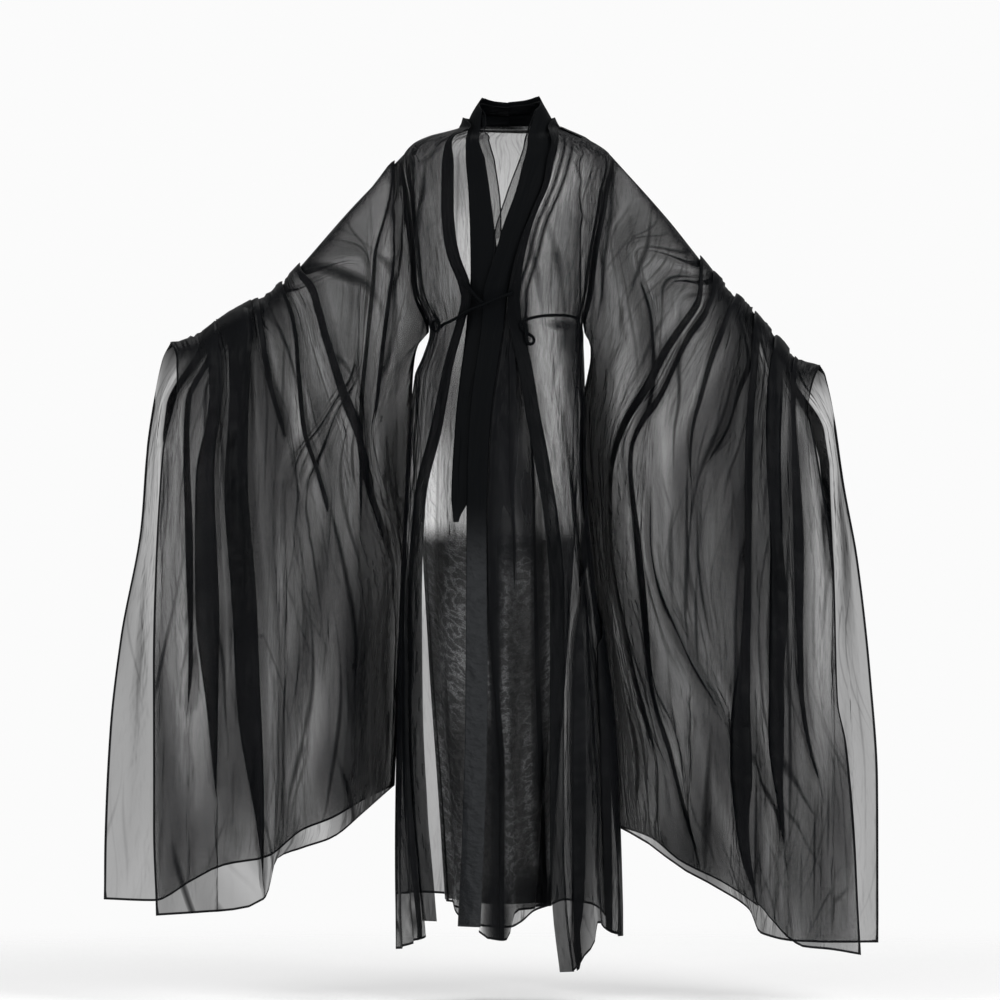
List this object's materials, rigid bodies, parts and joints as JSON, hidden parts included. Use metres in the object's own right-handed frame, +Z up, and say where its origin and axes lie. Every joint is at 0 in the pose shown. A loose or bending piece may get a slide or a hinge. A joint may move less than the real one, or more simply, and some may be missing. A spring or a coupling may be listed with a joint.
{
  "type": "hanfu robe",
  "caption": "Full-length open robe in sheer black organza with very wide hanging sleeves, worn over a crossed sheer robe with long black collars, thin ties at the waist.",
  "frame": {"origin": "between the shoulders at the base of the neck, in the hollow where the wearer's shoulders carry the robe", "axes": "+Z up, -Y the way the wearer faces, +X the wearer's left"},
  "size_m": [1.4742, 0.3368, 1.6544],
  "materials": {
    "organza": "sheer black organza with a soft sheen",
    "satin": "thin crinkled black satin",
    "band": "folded black cloth, matt"
  },
  "bodies": {
    "root": {"outer_back": "organza", "outer_front_right": "organza", "outer_front_left": "organza", "outer_sleeve_right": "organza", "outer_sleeve_left": "organza", "outer_band_right": "band", "outer_band_left": "band", "inner_back": "satin", "inner_front_right": "organza", "inner_front_left": "organza", "inner_collar_right": "band", "inner_collar_left": "band", "neck_strip_right": "organza", "neck_strip_left": "organza", "front_tie_right": "band", "front_tie_left": "band", "side_tie_right": "band", "side_tie_left": "band"}
  },
  "joints": []
}
